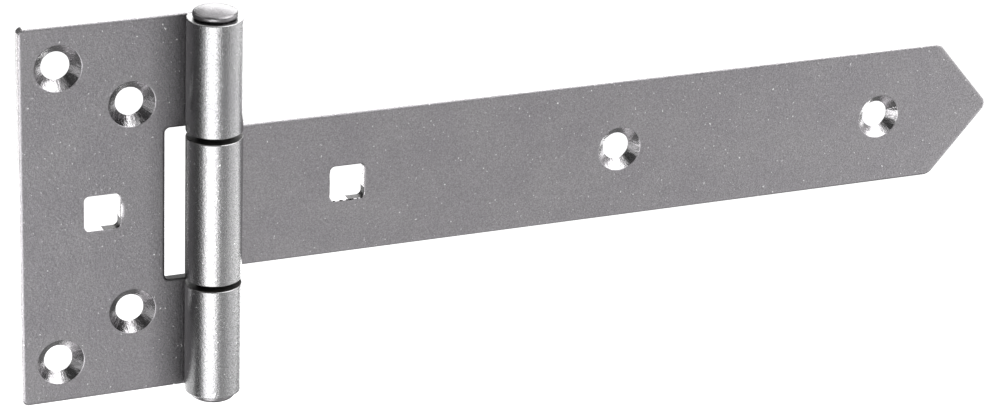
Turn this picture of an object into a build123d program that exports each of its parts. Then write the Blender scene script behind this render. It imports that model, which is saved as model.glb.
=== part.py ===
from build123d import *
import math
import os

# Tee hinge: a short frame leaf and a long pointed strap, both rolled from sheet round one riveted pin.
# Millimetres. +X runs along the strap, +Y into the post and door behind the hinge, +Z up the pin.
# The origin is the middle of the frame leaf's square bolt hole, on its back face.

# Sheet and pin
sheet = 2.5                 # thickness of both leaves
pin_diameter = 8.0
bore_clearance = 0.08       # radial play of the knuckles on the pin
seam_gap = 0.15             # between a rolled end and the face of its own leaf
lip_wrap = 60.0             # degrees past the side that the inside of a rolled end reaches
head_foot = 0.6             # how far a riveted head stands out round the shank where it bears on the knuckle
head_lip = 1.2              # and where it is widest
head_flare = 0.6            # height over which it widens
head_rim = 0.8              # straight edge above that
head_dome = 1.3             # rise of the dome above the edge
head_bevel = 0.4

# Frame leaf
leaf_height = 92.0
leaf_reach = 44.5           # pin axis to the far edge
leaf_corner = 1.5
bolt_to_pin = 25.3          # square hole to pin axis
outer_screw_x = 35.4        # pin axis to the outer pair of screw holes
outer_screw_z = 36.0
inner_screw_x = 18.2
inner_screw_z = 25.6
notch_to_pin = 10.4         # pin axis to the edge of the notch behind the middle knuckle
notch_corner = 1.2

# Strap
strap_width = 35.0
strap_reach = 207.5         # pin axis to the point, before it is rounded
point_length = 15.3
shoulder_round = 3.0
point_round = 2.0
strap_bolt_x = 34.3         # pin axis to the square hole
near_screw_x = 104.7
far_screw_x = 176.2
knuckle_gap = 1.3           # along the pin, between neighbouring knuckles

# Holes
screw_hole = 6.7
sink_diameter = 11.2
sink_angle = 90.0
bolt_square = 8.6           # takes the square neck of a carriage bolt
bolt_corner = 1.2

# Edges of the sheet are broken by bevels: wider on the front, crisper on the back
front_bevel = 0.4
back_bevel = 0.2
square_bevel = 0.25

# What follows from these
bore_radius = pin_diameter / 2 + bore_clearance
knuckle_radius = bore_radius + sheet
outer_wrap = math.degrees(math.asin((bore_radius - seam_gap) / knuckle_radius))
notch_height = strap_width + 2 * knuckle_gap
end_knuckle = (leaf_height - notch_height) / 2
touch = 0.01                # places closer than this are the same

# The planes of the work all have their zero at the pin: back and front of the leaves with X to the right
# and Z up, one through the pin axis the same way round, and one square to the pin
back_plane = Plane(origin=(bolt_to_pin, 0, 0), x_dir=(1, 0, 0), z_dir=(0, -1, 0))
front_plane = back_plane.offset(sheet)
side_plane = back_plane.offset(knuckle_radius)
pin_plane = Plane(origin=side_plane.origin, x_dir=(1, 0, 0), z_dir=(0, 0, 1))


# Section of one knuckle: the sheet passes behind the pin, goes round it and stops just short of its own
# leaf. side is 1 where that leaf lies towards +X and -1 where it lies towards -X.
def knuckle_section(bottom, side):
    with BuildSketch(pin_plane.offset(bottom)) as section:
        with BuildLine():
            inside = CenterArc((0, 0), bore_radius, 90, side * (270 + lip_wrap))
            outside = CenterArc((0, 0), knuckle_radius, 90, side * (270 + outer_wrap))
            Line(inside @ 0, outside @ 0)
            Line(inside @ 1, outside @ 1)
        make_face()
    return section.sketch


# Bevels the outline of a leaf, front and back. The bevels run on along the edges of its knuckles, so the
# line where flat sheet turns into knuckle is left out.
def bevel_outline(leaf):
    for depth, bevel in ((-sheet, front_bevel), (0, back_bevel)):
        flat = leaf.edges().filter_by(lambda edge: abs(edge.center().Y - depth) < touch)
        chamfer(flat.filter_by(lambda edge: abs(edge.center().X - bolt_to_pin) > touch), bevel)


# Punches countersunk screw holes and one square bolt hole through a leaf, and bevels the square's front rim
def punch_holes(leaf, screws, bolt_x):
    with Locations(front_plane):
        with Locations(*screws):
            CounterSinkHole(screw_hole / 2, sink_diameter / 2, counter_sink_angle=sink_angle)
    with BuildSketch(front_plane) as square:
        with Locations((bolt_x, 0)):
            RectangleRounded(bolt_square, bolt_square, bolt_corner)
    extrude(square.sketch, amount=-sheet, mode=Mode.SUBTRACT)
    chamfer(leaf.edges(Select.LAST).group_by(Axis.Y)[0], square_bevel)


# Frame leaf: a plate notched behind the strap's knuckle, with a knuckle above and one below
with BuildPart() as frame_leaf:
    with BuildSketch(back_plane):
        Rectangle(leaf_reach, leaf_height, align=(Align.MAX, Align.CENTER))
        Rectangle(notch_to_pin, notch_height, align=(Align.MAX, Align.CENTER), mode=Mode.SUBTRACT)
    extrude(amount=sheet)
    upright = frame_leaf.edges().filter_by(Axis.Y).group_by(Axis.X)
    fillet(upright[0], leaf_corner)
    fillet(upright[1], notch_corner)
    for bottom in (-leaf_height / 2, leaf_height / 2 - end_knuckle):
        extrude(knuckle_section(bottom, -1), amount=end_knuckle)
    bevel_outline(frame_leaf)
    leaf_screws = [(-outer_screw_x, outer_screw_z), (-outer_screw_x, -outer_screw_z)]
    leaf_screws += [(-inner_screw_x, inner_screw_z), (-inner_screw_x, -inner_screw_z)]
    punch_holes(frame_leaf, leaf_screws, -bolt_to_pin)
frame_leaf.part.label = "frame_leaf"

# Strap: a long plate with a blunt point, and one knuckle as wide as the plate between those of the leaf
with BuildPart() as strap:
    with BuildSketch(back_plane):
        with BuildLine():
            Polyline(
                (0, strap_width / 2),
                (strap_reach - point_length, strap_width / 2),
                (strap_reach, 0),
                (strap_reach - point_length, -strap_width / 2),
                (0, -strap_width / 2),
                close=True,
            )
        make_face()
    extrude(amount=sheet)
    upright = strap.edges().filter_by(Axis.Y).group_by(Axis.X)
    fillet(upright[-1], point_round)
    fillet(upright[-2], shoulder_round)
    extrude(knuckle_section(-strap_width / 2, 1), amount=strap_width)
    bevel_outline(strap)
    punch_holes(strap, [(near_screw_x, 0), (far_screw_x, 0)], strap_bolt_x)
strap.part.label = "strap"

# Pin: a plain shank, riveted over at both ends into domed heads. A head bears on its knuckle with a narrow
# foot and widens above it.
shank_radius = pin_diameter / 2
head_radius = shank_radius + head_lip
seat = leaf_height / 2
brow = seat + head_flare + head_rim
dome_radius = (head_radius**2 + head_dome**2) / (2 * head_dome)
with BuildPart() as pin:
    with BuildSketch(side_plane):
        with BuildLine():
            Polyline(
                (shank_radius, 0),
                (shank_radius, seat),
                (shank_radius + head_foot, seat),
                (head_radius, seat + head_flare),
                (head_radius, brow),
            )
            RadiusArc((head_radius, brow), (0, brow + head_dome), -dome_radius)
            mirror(about=Plane.XZ)
            Line((0, brow + head_dome), (0, -brow - head_dome))
        make_face()
    revolve(axis=Axis(pin_plane.origin, (0, 0, 1)))
    crowns = pin.edges().filter_by(lambda edge: abs(abs(edge.center().Z) - brow) < touch)
    chamfer(crowns, head_bevel)
pin.part.label = "pin"

os.makedirs("parts", exist_ok=True)
for piece in (frame_leaf, strap, pin):
    export_step(piece.part, "parts/" + piece.part.label + ".step")
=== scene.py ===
import bmesh
import bpy
import math
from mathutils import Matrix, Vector, geometry


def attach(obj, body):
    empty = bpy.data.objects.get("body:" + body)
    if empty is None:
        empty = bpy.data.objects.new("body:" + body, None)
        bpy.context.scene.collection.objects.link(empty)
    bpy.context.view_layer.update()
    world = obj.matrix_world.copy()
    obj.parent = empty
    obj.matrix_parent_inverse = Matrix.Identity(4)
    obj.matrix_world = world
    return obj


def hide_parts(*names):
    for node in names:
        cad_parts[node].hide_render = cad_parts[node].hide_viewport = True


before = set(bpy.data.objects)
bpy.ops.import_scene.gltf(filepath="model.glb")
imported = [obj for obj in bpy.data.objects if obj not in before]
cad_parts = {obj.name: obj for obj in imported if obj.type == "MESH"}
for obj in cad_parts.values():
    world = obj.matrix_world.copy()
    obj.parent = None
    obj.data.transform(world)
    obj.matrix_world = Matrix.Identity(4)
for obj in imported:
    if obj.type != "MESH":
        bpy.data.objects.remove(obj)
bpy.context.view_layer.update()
print("frame loaded:", sorted(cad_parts))

# Lengths are metres. The middle of the leaf's square hole is the origin, X runs along the strap and
# Z up the pin.
sheet = {
    "thick": 0.0025,
    "pinX": 0.0253,  # the pin's axis
    "pinY": -0.00658,
    "bore": 0.00408,  # inside radius of a knuckle
    "outside": 0.00658,
    "innerTurn": 330,  # degrees that the inside of the sheet runs round the pin
    "steps": 66,  # of that turn
    "seam": 0.00015,  # slit between a rolled end and its own leaf
    "rollRings": 8,  # steps in which the front edges curve back
    "rollCurve": 2.5,  # power of that curve
    "rollStop": 0.0043,  # the front stays flat nearer to the pin's axis than this
    "frontRound": 0.00006,
    "backRound": 0.00028,
    "roundSteps": 3,
    "endTurn": 20,  # degrees; the corners of a rolled end turn more, the facets of its roll less
    "smoothBelow": 32,  # degrees
}
hair = 0.00002  # places closer than this are the same
faceOn = 0.99  # a face whose normal has this share along an axis is square to it
sharp = 0.5  # radians between two faces, from which their edge is a corner


def deselectAll():
    if bpy.context.mode != "OBJECT":
        bpy.ops.object.mode_set(mode="OBJECT")
    bpy.ops.object.select_all(action="DESELECT")


def makeActive(piece):
    deselectAll()
    piece.select_set(True)
    bpy.context.view_layer.objects.active = piece


def settle(piece):
    makeActive(piece)
    bpy.ops.object.transform_apply(location=True, rotation=True, scale=True)


def pick(piece, kind, test):
    # leaves the piece in edit mode with only the faces, edges or vertices selected that pass the test
    if bpy.context.view_layer.objects.active != piece or bpy.context.mode != "EDIT_MESH":
        makeActive(piece)
        bpy.ops.object.mode_set(mode="EDIT")
    bpy.ops.mesh.select_mode(type=kind)
    bpy.ops.mesh.select_all(action="DESELECT")
    work = bmesh.from_edit_mesh(piece.data)
    work.normal_update()
    parts = {"FACE": work.faces, "EDGE": work.edges, "VERT": work.verts}[kind]
    for part in parts:
        if test(part):
            part.select_set(True)
    work.select_flush_mode()
    bmesh.update_edit_mesh(piece.data)
    return work


def anyFace(face):
    return True


def near(a, b):
    return abs(a - b) < hair


def fromPin(point):
    return math.hypot(point.x - sheet["pinX"], point.y - sheet["pinY"])


def flatBlank(name, left, right, height):
    deselectAll()
    bpy.ops.mesh.primitive_plane_add(size=1, location=((left + right) / 2, 0, 0),
                                     rotation=(math.pi / 2, 0, 0))
    blank = bpy.context.object
    blank.name = name
    blank.scale = (right - left, height, 1)
    settle(blank)
    return blank


def cutAcross(piece, point, normal, test=anyFace, clear=False):
    pick(piece, "FACE", test)
    bpy.ops.mesh.bisect(plane_co=point, plane_no=normal, clear_outer=clear)


def roundCorners(piece, test, offset, steps):
    # rounds corners of a flat blank, before it has a thickness
    pick(piece, "VERT", lambda v: test(v.co))
    bpy.ops.mesh.bevel(offset=offset, segments=steps, affect="VERTICES", clamp_overlap=False)


def roundEdges(piece, test, offset, steps):
    pick(piece, "EDGE", test)
    bpy.ops.mesh.bevel(offset=offset, segments=steps, affect="EDGES", clamp_overlap=False)


def thicken(piece):
    pick(piece, "FACE", anyFace)
    bpy.ops.mesh.extrude_region_move(TRANSFORM_OT_translate={"value": (0, -sheet["thick"], 0)})
    pick(piece, "FACE", anyFace)
    bpy.ops.mesh.normals_make_consistent(inside=False)


def rollKnuckles(piece, side):
    # side is -1 where the leaf lies left of the pin and 1 where it lies right of it
    axis = Vector((sheet["pinX"], sheet["pinY"], 0))
    reach = sheet["bore"] - sheet["seam"]
    outerTurn = 1.5 * math.pi + math.asin(reach / sheet["outside"])
    pick(piece, "FACE", lambda f: abs(f.normal.x) > faceOn and near(f.calc_center_median().x, axis.x))
    bpy.ops.mesh.spin(steps=sheet["steps"], angle=-side * outerTurn, center=axis, axis=(0, 0, 1))
    # the inside of the rolled end reaches further round than its outside, so that the end seats on a slant
    stretch = math.radians(sheet["innerTurn"]) / outerTurn
    work = bmesh.from_edit_mesh(piece.data)
    for vert in work.verts:
        spot = vert.co - axis
        if near(math.hypot(spot.x, spot.y), sheet["bore"]) and abs(spot.x) > hair / 10:
            turn = math.atan2(-side * spot.x, spot.y) % (2 * math.pi) * stretch
            vert.co.x = axis.x - side * sheet["bore"] * math.sin(turn)
            vert.co.y = axis.y + sheet["bore"] * math.cos(turn)
    bmesh.update_edit_mesh(piece.data)
    pick(piece, "FACE", anyFace)
    bpy.ops.mesh.remove_doubles(threshold=hair / 10)
    bpy.ops.mesh.normals_make_consistent(inside=False)


def rollOff(piece, wide, deep):
    # the shear has drawn the front edges back: rings are laid inside the outline and set back one by one
    front = -sheet["thick"]

    def onPlate(face):
        middle = face.calc_center_median()
        return face.normal.y < -faceOn and near(middle.y, front) and \
            abs(middle.x - sheet["pinX"]) > sheet["rollStop"] / 3

    work = pick(piece, "FACE", onPlate)
    outline = [[vert.co.copy() for vert in edge.verts] for edge in work.edges
               if all(near(vert.co.y, front) for vert in edge.verts) and edge.calc_face_angle(0) > sharp]
    step = wide / sheet["rollRings"]
    for ring in range(sheet["rollRings"]):
        bpy.ops.mesh.inset(thickness=step)

    def inward(point):
        # how far a point lies from the outline
        ways = []
        for a, b in outline:
            share = geometry.intersect_point_line(point, a, b)[1]
            ways.append((point - a.lerp(b, min(1, max(0, share)))).length)
        return min(ways)

    for ring in range(sheet["rollRings"]):
        pick(piece, "VERT", lambda v: near(v.co.y, front)
             and abs(v.co.x - sheet["pinX"]) > sheet["rollStop"] - hair
             and abs(inward(v.co) - ring * step) < step / 4)
        setBack = deep * (1 - ring / sheet["rollRings"]) ** sheet["rollCurve"]
        bpy.ops.transform.translate(value=(0, setBack, 0))


def softenOutline(piece, depth, radius, offset):
    # rounds the outline of one side of a leaf, and on along the rims of its knuckles and their rolled ends

    def onRim(point):
        return near(fromPin(point), radius) or near(point.x, sheet["pinX"]) and near(point.y, depth)

    def onOutline(edge):
        a, b = (vert.co for vert in edge.verts)
        if near(a.x, b.x) and near(a.x, sheet["pinX"]):
            return False
        if near(a.y, depth) and near(b.y, depth):
            return edge.calc_face_angle(0) > sharp
        atEnd = edge.calc_face_angle(0) > math.radians(sheet["endTurn"])
        return onRim(a) and onRim(b) and (near(a.z, b.z) or atEnd)

    roundEdges(piece, onOutline, offset, sheet["roundSteps"])


holes = {
    "bore": 0.00335,
    "sink": 0.0056,  # radius of a countersink at the front face
    "square": 0.0086,
    "squareCut": 0.0012,
    "squareSteps": 8,
    "spare": 0.0006,  # how far a cutter stands out of the sheet
    "sinkRound": 0.00016,
    "rimSteps": 3,
    "burrRound": 0.0001,
    "burrSteps": 2,
    "turns": 96,  # vertices round a countersink
    "cornerShadeWide": 0.004,  # painted shade covers the lower right corner of a square hole this far along its walls
    "cornerShadeHigh": 0.0024,
    "dishAround": 0.0044,  # room that is laid out in rings round a square hole
    "dishRings": 6,
    "dishCuts": 9,  # cuts in the edges of the right wall, which let it follow the dish
    "dishWide": 0.0011,  # the plate is dragged down this far beside the right wall
    "dishHigh": 0.0013,
}


def sinkCutter(x, z):
    # a cone that runs out into a plain shank behind it
    front = -sheet["thick"] - holes["spare"]
    deep = holes["sink"] + holes["spare"] - holes["bore"]
    deselectAll()
    bpy.ops.mesh.primitive_cone_add(vertices=holes["turns"], radius1=holes["sink"] + holes["spare"],
                                    radius2=holes["bore"], depth=deep, location=(x, front + deep / 2, z),
                                    rotation=(-math.pi / 2, 0, 0))
    cutter = bpy.context.object
    settle(cutter)
    pick(cutter, "FACE", lambda f: f.normal.y > faceOn)
    bpy.ops.mesh.extrude_region_move(TRANSFORM_OT_translate={"value": (0, sheet["thick"], 0)})
    return cutter


def squareCutter(x):
    wall, foot = x + holes["square"] / 2, -holes["square"] / 2
    deselectAll()
    bpy.ops.mesh.primitive_cube_add(size=1, location=(x, -sheet["thick"] / 2, 0))
    cutter = bpy.context.object
    cutter.scale = (holes["square"], sheet["thick"] + 2 * holes["spare"], holes["square"])
    settle(cutter)
    pick(cutter, "EDGE", lambda e: abs(e.verts[0].co.y - e.verts[1].co.y) > hair)
    bpy.ops.mesh.bevel(offset=holes["squareCut"], segments=holes["squareSteps"], affect="EDGES")
    pick(cutter, "EDGE", lambda e: all(near(v.co.x, wall) for v in e.verts)
         and near(e.verts[0].co.y, e.verts[1].co.y))
    bpy.ops.mesh.subdivide(number_cuts=holes["dishCuts"])
    # a slanted cut marks out the corner that takes the painted shade
    slant = Vector((holes["cornerShadeHigh"], 0, -holes["cornerShadeWide"])).normalized()
    cutAcross(cutter, (wall, 0, foot + holes["cornerShadeHigh"]), slant)
    return cutter


def dishPlate(piece, square, deep):
    # the punch has dragged the plate down beside the right wall of a square hole
    half = holes["square"] / 2
    room = half + holes["dishAround"]

    def inFront(face):
        return face.normal.y < -faceOn and near(face.calc_center_median().y, -sheet["thick"])

    def inRoom(vert):
        return abs(vert.co.x - square) < room + hair and abs(vert.co.z) < room + hair

    for away in (-room, room):
        cutAcross(piece, (square + away, 0, 0), (1, 0, 0), inFront)
    for away in (-room, room):
        cutAcross(piece, (0, 0, away), (0, 0, 1), inFront)
    pick(piece, "FACE", lambda f: inFront(f) and all(inRoom(v) for v in f.verts))
    for ring in range(holes["dishRings"]):
        bpy.ops.mesh.inset(thickness=holes["dishWide"] / holes["dishRings"])
    pick(piece, "VERT", lambda v: near(v.co.x, square + half) and near(v.co.y, -sheet["thick"])
         and abs(v.co.z) < holes["dishHigh"])
    bpy.ops.transform.translate(value=(0, deep, 0), use_proportional_edit=True,
                                proportional_edit_falloff="SHARP", proportional_size=holes["dishWide"])


def punch(piece, screws, square, dishDeep, rimRound):
    front = -sheet["thick"]
    cutters = [sinkCutter(x, z) for x, z in screws] + [squareCutter(square)]
    deselectAll()
    for cutter in cutters:
        cutter.select_set(True)
    bpy.context.view_layer.objects.active = cutters[0]
    bpy.ops.object.join()
    makeActive(piece)
    cut = piece.modifiers.new("punch", "BOOLEAN")
    cut.operation, cut.solver, cut.object = "DIFFERENCE", "EXACT", cutters[0]
    bpy.ops.object.modifier_apply(modifier=cut.name)
    bpy.data.objects.remove(cutters[0])
    dishPlate(piece, square, dishDeep)

    def sinkRim(edge, depth, reach):
        ends = [vert.co for vert in edge.verts]
        return edge.calc_face_angle(0) > sharp and all(near(co.y, depth) for co in ends) and any(
            all(near(math.hypot(co.x - x, co.z - z), reach) for co in ends) for x, z in screws)

    def squareRim(edge, low, high):
        half = holes["square"] / 2 + hair
        return edge.calc_face_angle(0) > sharp and all(
            low - hair < v.co.y < high + hair and abs(v.co.x - square) < half and abs(v.co.z) < half
            for v in edge.verts)

    def backRim(edge):
        return sinkRim(edge, 0, holes["bore"]) or squareRim(edge, 0, 0)

    roundEdges(piece, lambda e: sinkRim(e, front, holes["sink"]), holes["sinkRound"], holes["rimSteps"])
    roundEdges(piece, lambda e: squareRim(e, front, front + dishDeep), rimRound, holes["rimSteps"])
    roundEdges(piece, backRim, holes["burrRound"], holes["burrSteps"])


def smoothShade(piece):
    makeActive(piece)
    bpy.ops.object.shade_smooth_by_angle(angle=math.radians(sheet["smoothBelow"]))
    even = piece.modifiers.new("even", "WEIGHTED_NORMAL")
    even.keep_sharp = True
    bpy.ops.object.modifier_apply(modifier=even.name)


leaf = {
    "left": -0.0192,
    "height": 0.092,
    "cornerCut": 0.0015,
    "notchLeft": 0.0149,
    "notchHalf": 0.0188,
    "notchCut": 0.0012,
    "cornerSteps": 8,
    "outerScrewX": -0.0101,
    "outerScrewZ": 0.036,
    "innerScrewX": 0.0071,
    "innerScrewZ": 0.0256,
    "rollWide": 0.0008,  # the front edges curve back over this width
    "rollDeep": 0.00024,
    "dishDeep": 0.0004,
    "rimRound": 0.00016,
}
leafSheet = flatBlank("leafSheet", leaf["left"], sheet["pinX"], leaf["height"])
cutAcross(leafSheet, (leaf["notchLeft"], 0, 0), (1, 0, 0))
for half in (leaf["notchHalf"], -leaf["notchHalf"]):
    cutAcross(leafSheet, (0, 0, half), (0, 0, 1))
pick(leafSheet, "FACE", lambda f: f.calc_center_median().x > leaf["notchLeft"]
     and abs(f.calc_center_median().z) < leaf["notchHalf"])
bpy.ops.mesh.delete(type="FACE")
pick(leafSheet, "FACE", anyFace)
bpy.ops.mesh.dissolve_limited(angle_limit=0.01)
roundCorners(leafSheet, lambda co: near(co.x, leaf["left"]), leaf["cornerCut"], leaf["cornerSteps"])
roundCorners(leafSheet, lambda co: near(co.x, leaf["notchLeft"]), leaf["notchCut"], leaf["cornerSteps"])
cutAcross(leafSheet, (sheet["pinX"] - sheet["rollStop"], 0, 0), (1, 0, 0))
thicken(leafSheet)
rollKnuckles(leafSheet, -1)
rollOff(leafSheet, leaf["rollWide"], leaf["rollDeep"])
softenOutline(leafSheet, 0, sheet["outside"], sheet["backRound"])
softenOutline(leafSheet, leaf["rollDeep"] - sheet["thick"], sheet["bore"], sheet["frontRound"])
outerScrews = [(leaf["outerScrewX"], sign * leaf["outerScrewZ"]) for sign in (1, -1)]
innerScrews = [(leaf["innerScrewX"], sign * leaf["innerScrewZ"]) for sign in (1, -1)]
punch(leafSheet, outerScrews + innerScrews, 0, leaf["dishDeep"], leaf["rimRound"])
smoothShade(leafSheet)
print("leaf sheet shaped:", len(leafSheet.data.polygons), "faces")

strap = {
    "tip": 0.2328,
    "height": 0.035,
    "pointLong": 0.0153,
    "tipCut": 0.00175,
    "tipSteps": 8,
    "shoulderCut": 0.00136,
    "shoulderSteps": 6,
    "squareX": 0.0596,
    "nearScrewX": 0.13,
    "farScrewX": 0.2015,
    "rollWide": 0.0009,
    "rollDeep": 0.00025,
    "dishDeep": 0.00008,
    "rimRound": 0.00024,
}
shoulder = strap["tip"] - strap["pointLong"]
strapSheet = flatBlank("strapSheet", sheet["pinX"], strap["tip"], strap["height"])
for sign in (1, -1):
    cutAcross(strapSheet, (strap["tip"], 0, 0), (strap["height"] / 2, 0, sign * strap["pointLong"]),
              clear=True)
roundCorners(strapSheet, lambda co: near(co.x, strap["tip"]), strap["tipCut"], strap["tipSteps"])
roundCorners(strapSheet, lambda co: near(co.x, shoulder), strap["shoulderCut"], strap["shoulderSteps"])
cutAcross(strapSheet, (sheet["pinX"] + sheet["rollStop"], 0, 0), (1, 0, 0))
thicken(strapSheet)
rollKnuckles(strapSheet, 1)
rollOff(strapSheet, strap["rollWide"], strap["rollDeep"])
softenOutline(strapSheet, 0, sheet["outside"], sheet["backRound"])
softenOutline(strapSheet, strap["rollDeep"] - sheet["thick"], sheet["bore"], sheet["frontRound"])
strapScrews = [(strap["nearScrewX"], 0), (strap["farScrewX"], 0)]
punch(strapSheet, strapScrews, strap["squareX"], strap["dishDeep"], strap["rimRound"])
smoothShade(strapSheet)
print("strap sheet shaped:", len(strapSheet.data.polygons), "faces")

rivet = {
    "shank": 0.004,
    "seat": 0.046,  # half the length between the heads
    "foot": 0.0047,  # radius on which a head bears on its knuckle
    "head": 0.0052,
    "flare": 0.0004,
    "rim": 0.001,
    "dome": 0.0013,
    "footRound": 0.0002,
    "footSteps": 3,
    "crownRound": 0.00038,
    "crownSteps": 5,
    "turns": 96,  # vertices round the pin
    "rings": 12,  # of the dome
}
rivetAxis = (sheet["pinX"], sheet["pinY"], 0)
domeRadius = (rivet["head"] ** 2 + rivet["dome"] ** 2) / (2 * rivet["dome"])
flareTop = rivet["seat"] + rivet["flare"]
brow = flareTop + rivet["rim"]


def domeHeight(radius):
    return math.sqrt(domeRadius ** 2 - radius ** 2) - domeRadius + rivet["dome"]


def pushOut(up, widen):
    # carries the selected end face on along the pin, and widens it about the pin's axis
    bpy.ops.mesh.extrude_region_move(TRANSFORM_OT_translate={"value": (0, 0, up)})
    bpy.ops.transform.resize(value=(widen, widen, 1), center_override=rivetAxis)


def headEdge(edge, height):
    a, b = (vert.co for vert in edge.verts)
    return near(abs(a.z), height) and near(a.z, b.z) and near(fromPin(a), rivet["head"])


deselectAll()
bpy.ops.mesh.primitive_cylinder_add(vertices=rivet["turns"], radius=rivet["shank"],
                                    depth=2 * rivet["seat"], location=rivetAxis)
rivetPin = bpy.context.object
rivetPin.name = "rivetPin"
settle(rivetPin)
for sign in (1, -1):
    pick(rivetPin, "FACE", lambda f: near(f.calc_center_median().z, sign * rivet["seat"])
         and near(fromPin(f.calc_center_median()), 0))
    pushOut(0, rivet["foot"] / rivet["shank"])
    pushOut(sign * rivet["flare"], rivet["head"] / rivet["foot"])
    pushOut(sign * rivet["rim"], 1)
    radius = rivet["head"]
    step = rivet["head"] / (rivet["rings"] + 0.5)
    for ring in range(rivet["rings"]):
        bpy.ops.mesh.inset(thickness=step, depth=domeHeight(radius - step) - domeHeight(radius))
        radius -= step
roundEdges(rivetPin, lambda e: headEdge(e, brow), rivet["crownRound"], rivet["crownSteps"])
roundEdges(rivetPin, lambda e: headEdge(e, flareTop), rivet["footRound"], rivet["footSteps"])
smoothShade(rivetPin)
print("rivet pin shaped:", len(rivetPin.data.polygons), "faces")

# what rides on what, and which CAD node each piece stands in for
for piece, body, cadNode, slot in ((leafSheet, "frame", "frame_leaf", "leaf_steel"),
                                   (strapSheet, "strap", "strap", "strap_steel"),
                                   (rivetPin, "frame", "pin", "pin_steel")):
    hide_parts(cadNode)
    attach(piece, body)

wear = {
    "lean": 0.25,  # a rim of a knuckle or head is worn where its normal leans this far between end and side
    "apart": 7,  # keeps the cutter's marks in one countersink unlike those in the next
}


def markWear(piece, rollDeep):
    # "rub" is 0 on the wide faces, rises over the die roll and is 1 on the cut edges and rims
    front = -sheet["thick"]
    rub = piece.data.attributes.new("rub", "FLOAT", "POINT")
    for vert in piece.data.vertices:
        point, normal = vert.co, vert.normal
        if fromPin(point) < sheet["outside"] + hair:
            worn = (1 - max(abs(normal.z), math.hypot(normal.x, normal.y))) / wear["lean"]
        elif point.y > -hair:
            worn = 0
        else:
            worn = (point.y - front) / rollDeep
        rub.data[vert.index].value = min(1, max(0, worn))


def markTool(piece, screws):
    # "toolPath" runs round each countersink and along its slope, so that the cutter's marks can follow it
    path = piece.data.attributes.new("toolPath", "FLOAT_VECTOR", "POINT")
    for vert in piece.data.vertices:
        for count, (x, z) in enumerate(screws):
            across, up = vert.co.x - x, vert.co.z - z
            if math.hypot(across, up) < holes["sink"] + hair:
                turn = math.atan2(up, across)
                along = wear["apart"] * count - vert.co.y / sheet["thick"]
                path.data[vert.index].vector = (math.cos(turn), math.sin(turn), along)


markWear(leafSheet, leaf["rollDeep"])
markWear(strapSheet, strap["rollDeep"])
markWear(rivetPin, sheet["thick"])
markTool(leafSheet, outerScrews + innerScrews)
markTool(strapSheet, strapScrews)


def newMaterial(name):
    material = bpy.data.materials.new(name)
    material.use_nodes = True
    material.node_tree.nodes.clear()
    return material


def node(owner, kind, links=(), **values):
    # adds a node to a material or world; values go by the name of a setting or socket, and each link is
    # (socket, from, output)
    new = owner.node_tree.nodes.new("ShaderNode" + kind)
    for name, value in values.items():
        if name in new.bl_rna.properties:
            setattr(new, name, value)
        else:
            new.inputs[name.replace("_", " ")].default_value = value
    for socket, source, output in links:
        owner.node_tree.links.new(source.outputs[output], new.inputs[socket])
    return new


# in the functions below, what another node gives is written as a pair of that node and its output
def blend(owner, factor, first, second):
    # mixes two colours, each a pair or a plain colour
    new = owner.node_tree.nodes.new("ShaderNodeMix")
    new.data_type = "RGBA"
    owner.node_tree.links.new(factor[0].outputs[factor[1]], new.inputs["Factor"])
    for socket, colour in ((new.inputs[6], first), (new.inputs[7], second)):
        if isinstance(colour[0], bpy.types.Node):
            owner.node_tree.links.new(colour[0].outputs[colour[1]], socket)
        else:
            socket.default_value = colour
    return new


def product(owner, first, second):
    return node(owner, "Math", [(0, *first), (1, *second)], operation="MULTIPLY")


def rise(owner, value, start, end, low=0, high=1):
    # goes from low to high while the value goes from start to end
    return node(owner, "MapRange", [("Value", *value)], From_Min=start, From_Max=end,
                To_Min=low, To_Max=high)


def sway(owner, noise, middle, spread):
    # values about a middle that follow a noise, which seldom leaves 0.3 to 0.7
    return rise(owner, (noise, "Fac"), 0.3, 0.7, middle - spread, middle + spread)


def noiseOn(owner, place, grain):
    # grain is the noise's scale, detail and roughness
    scale, detail, rough = grain
    return node(owner, "TexNoise", [("Vector", *place)], Scale=scale, Detail=detail, Roughness=rough)


def patches(owner, noise, finish):
    # the finish's dark and light, in patches that follow a noise
    new = node(owner, "ValToRGB", [("Fac", noise, "Fac")])
    stops = new.color_ramp.elements
    stops[0].position, stops[1].position = finish["patch"]
    stops[0].color, stops[1].color = finish["dark"], finish["light"]
    return new


def shadeWhere(owner, colour, factor, shade):
    # multiplies a colour by the shade where the factor is 1
    cast = blend(owner, factor, (1, 1, 1, 1), shade)
    return node(owner, "VectorMath", [(0, *colour), (1, cast, 2)], operation="MULTIPLY")


def finishSteel(steel, colour, rough, bump, metal):
    shader = node(steel, "BsdfPrincipled", [("Base Color", *colour), ("Roughness", rough, "Result"),
                                            ("Normal", bump, "Normal")], Metallic=metal)
    node(steel, "OutputMaterial", [("Surface", shader, "BSDF")])
    return steel


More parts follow.
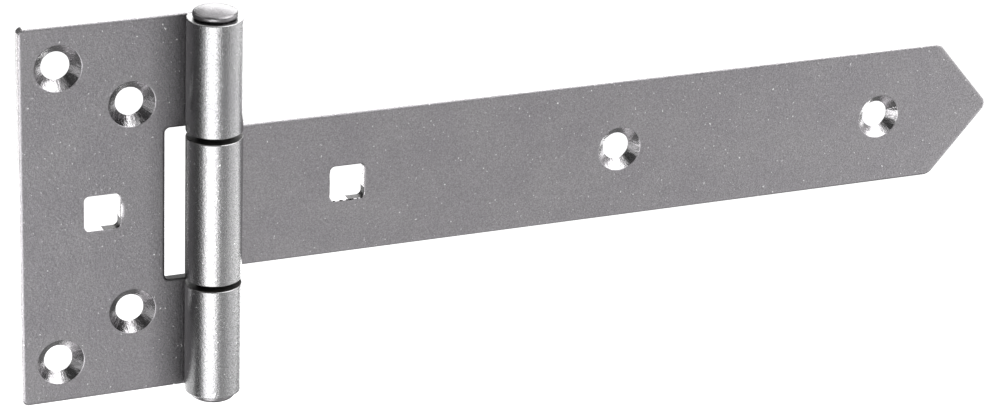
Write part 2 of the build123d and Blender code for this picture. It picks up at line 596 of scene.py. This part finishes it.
plating = {
    "dark": (0.214, 0.206, 0.216, 1),
    "light": (0.226, 0.219, 0.226, 1),
    "patch": (0.35, 0.65),  # the clouds' noise at dark and at light
    "rolled": (1.08, 1.11, 1.08, 1),  # the burnished knuckles are a shade brighter and cooler
    "rolledSpan": (-0.0028, -0.0036),  # Y over which plate turns into knuckle
    "paintedSeamShade": (0.42, 0.42, 0.42, 1),  # painted shade: darker where leaf and knuckle meet
    "paintedShadeReach": 0.008,
    "paintedShadePast": 0.0026,  # the painted shade fades out again this far inside the knuckle
    "rubbed": (0.36, 0.35, 0.355, 1),
    "wearSpan": (0.2, 0.5),  # "rub" times the grain, from whole to worn
    "speck": (0.6, 0.6, 0.6, 1),
    "speckSpan": (0.7, 0.76),  # only the peaks of the peel
    "rough": 0.35,
    "rolledRough": 0.19,
    "roughSpread": 0.02,
    "rubbedRough": 0.22,
    "cloud": (90, 4, 0.6),  # scale, detail and roughness of a noise
    "grain": (2900, 3, 0.7),
    "peel": (1500, 2, 0.5),
    "draw": (1700, 2, 0.5),
    "drawStretch": 0.04,  # the drawing lines run along the pin
    "grainShade": 0.3,
    "grainBump": 0.5,
    "peelBump": 0.3,
    "drawBump": 0.08,
    "grainDeep": 0.00012,
    "peelDeep": 0.00016,
}
# painted shade: the leaf takes the plating a shade darker than the strap, to offset the brighter light on
# it
leafShadedPlating = dict(plating, dark=(0.201, 0.194, 0.204, 1), light=(0.213, 0.207, 0.214, 1))
rivetFinish = dict(plating, dark=(0.13, 0.127, 0.13, 1), light=(0.17, 0.165, 0.17, 1), rolled=(1, 1, 1, 1),
                   rough=0.28, rolledRough=0.28, rubbed=(0.2, 0.195, 0.2, 1), paintedSeamShade=(1, 1, 1, 1),
                   peelBump=0.35, peel=(700, 2, 0.5))


def platedSteel(name, finish):
    steel = newMaterial(name)
    place = node(steel, "TexCoord")
    stretched = node(steel, "Mapping", [("Vector", place, "Object")], Scale=(1, 1, finish["drawStretch"]))
    cloud = noiseOn(steel, (place, "Object"), finish["cloud"])
    grain = noiseOn(steel, (place, "Object"), finish["grain"])
    peel = noiseOn(steel, (place, "Object"), finish["peel"])
    lines = noiseOn(steel, (stretched, "Vector"), finish["draw"])
    shade = sway(steel, grain, 1, finish["grainShade"])
    body = node(steel, "VectorMath", [(0, patches(steel, cloud, finish), "Color"), (1, shade, "Result")],
                operation="MULTIPLY")
    # the rolled knuckles
    parts = node(steel, "SeparateXYZ", [("Vector", place, "Object")])
    rolled = rise(steel, (parts, "Y"), *finish["rolledSpan"])
    toned = shadeWhere(steel, (body, "Vector"), (rolled, "Result"), finish["rolled"])
    # painted shade in the recess beside them
    crease = sheet["pinX"] - sheet["outside"]
    leftOf = rise(steel, (parts, "X"), crease - finish["paintedShadeReach"], crease)
    rightOf = rise(steel, (parts, "X"), crease + finish["paintedShadePast"], crease)
    inFront = rise(steel, (parts, "Y"), -sheet["thick"] / 2, -sheet["thick"])
    beside = product(steel, (leftOf, "Result"), (rightOf, "Result"))
    paintedSeamShade = product(steel, (beside, "Value"), (inFront, "Result"))
    skin = shadeWhere(steel, (toned, "Vector"), (paintedSeamShade, "Value"), finish["paintedSeamShade"])
    # worn edges, and specks
    rub = node(steel, "Attribute", attribute_name="rub")
    chafe = product(steel, (rub, "Fac"), (grain, "Fac"))
    worn = rise(steel, (chafe, "Value"), *finish["wearSpan"])
    hide = blend(steel, (worn, "Result"), (skin, "Vector"), finish["rubbed"])
    spark = rise(steel, (peel, "Fac"), *finish["speckSpan"])
    colour = blend(steel, (spark, "Result"), (hide, 2), finish["speck"])
    dull = rise(steel, (rolled, "Result"), 0, 1, finish["rough"], finish["rolledRough"])
    uneven = sway(steel, cloud, 0, finish["roughSpread"])
    matt = node(steel, "Math", [(0, dull, "Result"), (1, uneven, "Result")], operation="ADD")
    rough = node(steel, "MapRange", [("Value", worn, "Result"), ("To Min", matt, "Value")],
                 To_Max=finish["rubbedRough"])
    pull = rise(steel, (rolled, "Result"), 0, 1, 0, finish["drawBump"])
    drawn = node(steel, "Bump", [("Height", lines, "Fac"), ("Strength", pull, "Result")],
                 Distance=finish["grainDeep"])
    dents = node(steel, "Bump", [("Height", peel, "Fac"), ("Normal", drawn, "Normal")],
                 Strength=finish["peelBump"], Distance=finish["peelDeep"])
    bump = node(steel, "Bump", [("Height", grain, "Fac"), ("Normal", dents, "Normal")],
                Strength=finish["grainBump"], Distance=finish["grainDeep"])
    return finishSteel(steel, (colour, 2), rough, bump, 1)


cutter = {
    "dark": (0.24, 0.235, 0.24, 1),
    "light": (0.36, 0.35, 0.36, 1),
    "patch": (0.4, 0.65),
    "leftSpan": (-0.55, -0.9),  # cosine of the angle round a countersink, where its left side begins
    "outerPaintedShade": (0.8, 0.8, 0.8, 1),  # painted shade on the left sides of the leaf's countersinks
    "innerPaintedShade": (0.42, 0.42, 0.42, 1),
    "strapPaintedShade": (1, 1, 1, 1),
    "rough": 0.17,
    "roughSpread": 0.04,
    "marks": (7, 3, 0.6),  # noise of the chatter marks round a countersink
    "markStretch": 0.25,
    "grain": (2900, 3, 0.5),
    "bump": 0.7,
    "deep": 0.00014,
    "grainBump": 0.2,
    "grainDeep": 0.00012,
}


def cutSteel(name, paintedLeftShade):
    # the countersinks keep the marks of the tool that cut them
    steel = newMaterial(name)
    path = node(steel, "Attribute", attribute_name="toolPath")
    stretched = node(steel, "Mapping", [("Vector", path, "Vector")], Scale=(1, 1, cutter["markStretch"]))
    chatter = noiseOn(steel, (stretched, "Vector"), cutter["marks"])
    place = node(steel, "TexCoord")
    grain = noiseOn(steel, (place, "Object"), cutter["grain"])
    tint = patches(steel, chatter, cutter)
    turn = node(steel, "SeparateXYZ", [("Vector", path, "Vector")])
    # painted shade on the left side of each countersink
    onLeft = rise(steel, (turn, "X"), *cutter["leftSpan"])
    colour = shadeWhere(steel, (tint, "Color"), (onLeft, "Result"), paintedLeftShade)
    rough = sway(steel, grain, cutter["rough"], cutter["roughSpread"])
    ridges = node(steel, "Bump", [("Height", chatter, "Fac")],
                  Strength=cutter["bump"], Distance=cutter["deep"])
    bump = node(steel, "Bump", [("Height", grain, "Fac"), ("Normal", ridges, "Normal")],
                Strength=cutter["grainBump"], Distance=cutter["grainDeep"])
    return finishSteel(steel, (colour, "Vector"), rough, bump, 1)


# painted shade: near-black on the walls at the lower right corners of the square holes
cornerShade = {
    "dark": (0.006, 0.006, 0.006, 1),
    "light": (0.11, 0.107, 0.108, 1),
    "patch": (0.35, 0.7),
    "smear": (700, 3, 0.6),  # scale, detail and roughness of the noise
    "rough": 0.5,
    "roughSpread": 0.1,
    "metal": 1,
    "bump": 0.3,
    "deep": 0.0001,
}
# painted shade: near-black on the knuckle ends across the slits, in the bores and on the pin's shank
slitShade = dict(cornerShade, light=(0.03, 0.028, 0.026, 1), smear=(600, 3, 0.6), rough=0.55, metal=0.3)
# on the sheared foot of the notch
shear = dict(cornerShade, dark=(0.016, 0.016, 0.016, 1), light=(0.06, 0.059, 0.06, 1), smear=(500, 3, 0.6),
             rough=0.75, metal=0.5)
# on the chipped rim of the strap's square hole
chipped = dict(cornerShade, dark=(0.004, 0.004, 0.004, 1), light=(0.4, 0.39, 0.4, 1), patch=(0.48, 0.54),
               smear=(500, 3, 0.6), rough=0.3)


def bareSteelAndPaintedShade(name, finish):
    steel = newMaterial(name)
    place = node(steel, "TexCoord")
    smear = noiseOn(steel, (place, "Object"), finish["smear"])
    tint = patches(steel, smear, finish)
    rough = sway(steel, smear, finish["rough"], finish["roughSpread"])
    bump = node(steel, "Bump", [("Height", smear, "Fac")], Strength=finish["bump"], Distance=finish["deep"])
    return finishSteel(steel, (tint, "Color"), rough, bump, finish["metal"])


def coat(piece, finishes):
    # finishes are pairs of a material and a test for its faces; a later one covers an earlier one
    piece.data.materials.clear()
    for index, (material, test) in enumerate(finishes):
        piece.data.materials.append(material)
        pick(piece, "FACE", test)
        piece.active_material_index = index
        bpy.ops.object.material_slot_assign()
    deselectAll()


leans = {
    "sink": 0.1,  # the slope of a countersink faces this near to 45 degrees
    "wall": 0.3,  # a wall faces the front less than this, and a foot faces up more
    "rim": 0.15,  # a rim faces the front more than this
}


def inSink(face, screws):
    spot = face.calc_center_median()
    return abs(face.normal.y + math.sqrt(0.5)) < leans["sink"] and any(
        math.hypot(spot.x - x, spot.z - z) < holes["sink"] - holes["sinkRound"] / 2 for x, z in screws)


def inSlit(face):
    # ends of the knuckles that face each other, less their rounded rims, and the bores
    spot = face.calc_center_median()
    slitTop, slitFoot = leaf["notchHalf"] + 2 * hair, strap["height"] / 2 - 2 * hair
    return fromPin(spot) < sheet["bore"] + hair or \
        fromPin(spot) < sheet["outside"] - sheet["backRound"] / 2 and slitFoot < abs(spot.z) < slitTop


def inCornerShade(face, square):
    # the walls at the lower right corner of a square hole, which take the painted shade
    across = face.calc_center_median().x - square - holes["square"] / 2
    up = face.calc_center_median().z + holes["square"] / 2
    return abs(face.normal.y) < leans["wall"] and -holes["cornerShadeWide"] < across < hair and \
        -hair < up < holes["cornerShadeHigh"] and up < holes["cornerShadeHigh"] * (1 + across / holes["cornerShadeWide"])


def inRim(face, square):
    # the front rim of a square hole along its left and lower sides, chipped by the punch
    across, up = face.calc_center_median().x - square, face.calc_center_median().z
    reach = holes["square"] / 2 + strap["rimRound"]
    kept = holes["square"] / 2 - holes["squareCut"]
    return -faceOn < face.normal.y < -leans["rim"] and max(abs(across), abs(up)) < reach and \
        (up < -kept or across < -kept)


def inNotch(face):
    # the sheared foot of the notch
    spot = face.calc_center_median()
    return face.normal.z > leans["wall"] and abs(spot.z + leaf["notchHalf"]) < leaf["notchCut"] and \
        leaf["notchLeft"] - hair < spot.x < sheet["pinX"] and spot.y > -sheet["thick"] - hair


# painted shade for the slits between the knuckles and the steel hidden in them
slitShadeSteel = bareSteelAndPaintedShade("paintedSlitShade", slitShade)
paintedCornerShadeSteel = bareSteelAndPaintedShade("paintedCornerShadeSteel", cornerShade)
coat(leafSheet, (
    (platedSteel("leafPlatedSteel", leafShadedPlating), anyFace),
    (cutSteel("outerCutSteel", cutter["outerPaintedShade"]), lambda f: inSink(f, outerScrews)),
    (cutSteel("innerCutSteel", cutter["innerPaintedShade"]), lambda f: inSink(f, innerScrews)),
    (paintedCornerShadeSteel, lambda f: inCornerShade(f, 0)),
    (bareSteelAndPaintedShade("shearedSteel", shear), inNotch),
    (slitShadeSteel, inSlit),
))
coat(strapSheet, (
    (platedSteel("platedSteel", plating), anyFace),
    (cutSteel("strapCutSteel", cutter["strapPaintedShade"]), lambda f: inSink(f, strapScrews)),
    (paintedCornerShadeSteel, lambda f: inCornerShade(f, strap["squareX"])),
    (bareSteelAndPaintedShade("chippedSteel", chipped), lambda f: inRim(f, strap["squareX"])),
    (slitShadeSteel, inSlit),
))
coat(rivetPin, (
    (platedSteel("rivetSteel", rivetFinish), anyFace),
    (slitShadeSteel, lambda f: abs(f.calc_center_median().z) < rivet["seat"] - hair),
))
print("finishes made")

studio = {
    "floorZ": -0.7,
    "floorSize": 30,
    "floorColour": (0.86, 0.86, 0.87, 1),
    "floorGlow": 0.65,
    "air": 0.45,  # strength of the white surround on matt surfaces
    "camera": (-0.21242, -0.69437, 0.30373),
    "yaw": 24.232,  # degrees to the right of +Y
    "pitch": 22.515,  # down
    "roll": 2.424,
    "lens": 123.4332,  # millimetres, on a sensor 36 wide
}
hingeMiddle = Vector((0.05, 0, 0))
leafEdge = Vector((leaf["left"], 0, 0))
leafWall = Vector((holes["square"] / 2, 0, 0))
strapWall = Vector((strap["squareX"] + holes["square"] / 2, 0, 0))
# softboxes: name, aimed at, azimuth from -Y towards +X, elevation, distance, width, height, brightness
lamps = (
    ("keySoftbox", hingeMiddle, -30.5, -24, 0.9, 0.68, 0.72, 4.6),
    ("backSoftbox", hingeMiddle, 156, 26, 1.2, 1.0, 0.85, 3.9),
    ("overBackSoftbox", hingeMiddle, 150, 65, 1.0, 1.0, 0.8, 1.2),
    ("leftBackStrip", leafEdge, -155, -22, 0.06, 0.024, 0.118, 3.8),
    ("topSoftbox", hingeMiddle, 56, 42, 1.0, 1.25, 1.06, 4.0),
    ("leafWallStrip", leafWall, -155, -22, 0.06, 0.018, 0.024, 4.5),
    ("strapWallStrip", strapWall, -155, -22, 0.06, 0.018, 0.024, 4.5),
    ("rightSoftbox", hingeMiddle, 66, -20, 1.0, 0.75, 0.7, 0.9),
    ("farRightSoftbox", hingeMiddle, 97, -20, 1.0, 0.43, 0.7, 2.6),
    ("backRightSoftbox", hingeMiddle, 137, -22, 1.0, 0.36, 0.6, 3.0),
)
# cards that the steel mirrors: name, azimuth, elevation, distance, width, height, glow
cards = (
    ("leftCard", -112, -18, 0.6, 0.94, 0.9, 0.27),
    ("behindCard", -176, -24, 1.1, 0.8, 0.7, 0.2),
    ("highBackCard", -163, 17, 0.6, 0.42, 0.5, 0.2),
    ("underCard", 150, -85, 0.5, 1.4, 1.4, 0.28),
    ("frontCard", 17, -22, 0.8, 0.54, 0.72, 0.93),
    ("browCard", 22, 6, 0.75, 0.7, 0.18, 0.1),
    ("lowFrontCard", 36, -50, 0.42, 0.34, 0.24, 1.35),
    ("highLeftCard", -50, 36, 0.7, 0.58, 0.56, 0.1),
    ("overFrontCard", -20, 19, 0.7, 0.46, 0.44, 0.15),
    ("rightGapCard", 114, -22, 0.9, 0.2, 0.35, 0.2),
)
# a lit strip of bench top just behind and below the leaf, which the foot of its lower knuckle mirrors
benchStrip = {"middle": (-0.008, 0.004, -0.075), "width": 0.075, "height": 0.052, "glow": 3.2}


def direction(azimuth, elevation):
    a, e = math.radians(azimuth), math.radians(elevation)
    return Vector((math.sin(a) * math.cos(e), -math.cos(a) * math.cos(e), math.sin(e)))


for name, aim, azimuth, elevation, distance, width, height, bright in lamps:
    lamp = bpy.data.lights.new(name, "AREA")
    lamp.shape, lamp.size, lamp.size_y = "RECTANGLE", width, height
    lamp.energy = bright * math.pi * width * height
    stand = bpy.data.objects.new(name, lamp)
    bpy.context.collection.objects.link(stand)
    stand.location = aim + direction(azimuth, elevation) * distance
    stand.rotation_euler = (aim - stand.location).to_track_quat("-Z", "Y").to_euler()
    stand.visible_camera = False


def hangCard(name, place, facing, width, height, glow):
    cloth = newMaterial(name)
    shine = node(cloth, "Emission", Strength=glow)
    node(cloth, "OutputMaterial", [("Surface", shine, "Emission")])
    deselectAll()
    bpy.ops.mesh.primitive_plane_add(size=1, location=place)
    card = bpy.context.object
    card.name = name
    card.scale = (width, height, 1)
    card.rotation_euler = facing.to_track_quat("Z", "Y").to_euler()
    card.visible_camera = False
    card.visible_shadow = False
    card.visible_diffuse = False
    card.data.materials.append(cloth)


for name, azimuth, elevation, distance, width, height, glow in cards:
    away = direction(azimuth, elevation)
    hangCard(name, hingeMiddle + away * distance, -away, width, height, glow)
hangCard("benchStrip", benchStrip["middle"], Vector((0, -1, 0)), benchStrip["width"], benchStrip["height"],
         benchStrip["glow"])

deselectAll()
bpy.ops.mesh.primitive_plane_add(size=studio["floorSize"], location=(0, 0, studio["floorZ"]))
floor = bpy.context.object
floor.name = "floor"


def directRays(owner):
    # 1 on rays from the camera, from a mirror or through glass
    seen = node(owner, "LightPath")
    either = node(owner, "Math", [(0, seen, "Is Camera Ray"), (1, seen, "Is Glossy Ray")],
                  operation="MAXIMUM")
    return node(owner, "Math", [(0, either, "Value"), (1, seen, "Is Transmission Ray")],
                operation="MAXIMUM")


paper = newMaterial("paleFloor")
glow = rise(paper, (directRays(paper), "Value"), 0, 1, 0, studio["floorGlow"])
matt = node(paper, "BsdfDiffuse", Color=studio["floorColour"])
light = node(paper, "Emission", [("Strength", glow, "Result")])
both = node(paper, "AddShader", [(0, matt, "BSDF"), (1, light, "Emission")])
node(paper, "OutputMaterial", [("Surface", both, "Shader")])
floor.data.materials.append(paper)

world = bpy.data.worlds.new("studioAir")
bpy.context.scene.world = world
world.use_nodes = True
world.node_tree.nodes.clear()
air = rise(world, (directRays(world), "Value"), 0, 1, studio["air"], 1)
back = node(world, "Background", [("Strength", air, "Result")], Color=(1, 1, 1, 1))
node(world, "OutputWorld", [("Surface", back, "Background")])

cameraData = bpy.data.cameras.new("camera")
camera = bpy.data.objects.new("camera", cameraData)
bpy.context.collection.objects.link(camera)
cameraData.sensor_width = 36
cameraData.lens = studio["lens"]
cameraData.clip_start, cameraData.clip_end = 0.01, 50
camera.location = studio["camera"]
look = direction(180 - studio["yaw"], -studio["pitch"])
camera.rotation_euler = look.to_track_quat("-Z", "Y").to_euler()
camera.rotation_euler.rotate_axis("Z", math.radians(studio["roll"]))
bpy.context.scene.camera = camera
bpy.context.scene.view_settings.view_transform = "Standard"
print("studio lit")
